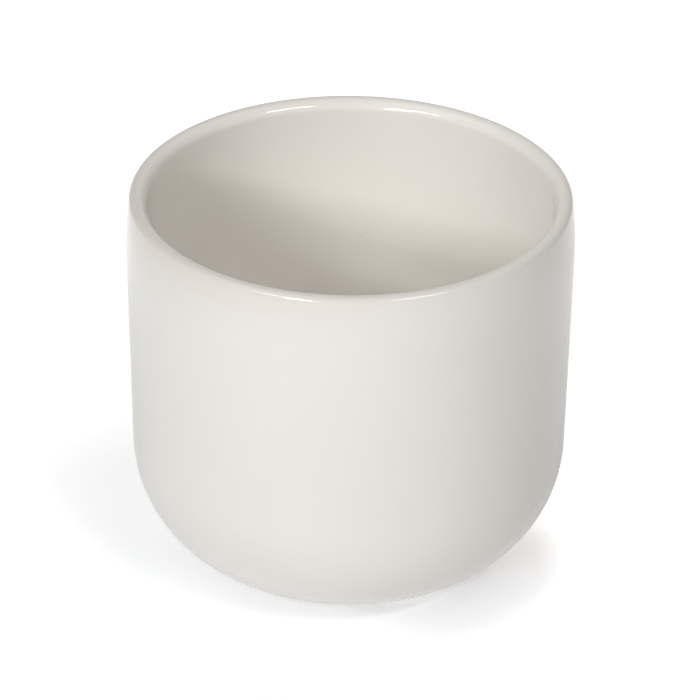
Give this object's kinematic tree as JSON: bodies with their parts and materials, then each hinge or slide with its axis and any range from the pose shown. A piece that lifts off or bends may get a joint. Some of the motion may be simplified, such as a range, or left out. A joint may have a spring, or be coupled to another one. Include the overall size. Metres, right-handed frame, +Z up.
{
  "type": "porcelain crucible",
  "caption": "Glazed off-white porcelain crucible: an open cup with near-upright sides, a round heel, a thick rounded rim and a bare foot ring, for heating samples.",
  "frame": {"origin": "centre of the foot ring, on the surface that the crucible stands on", "axes": "+Z up along the cup's axis, out of its mouth; X and Y are any two level directions, because the cup is round"},
  "size_m": [0.06, 0.06, 0.0545],
  "materials": {
    "porcelain": "bare fired body, matt",
    "glaze": "glossy clear glaze over a warm white body"
  },
  "bodies": {
    "root": {"porcelain_body": "porcelain", "glaze_coat": "glaze"}
  },
  "joints": []
}
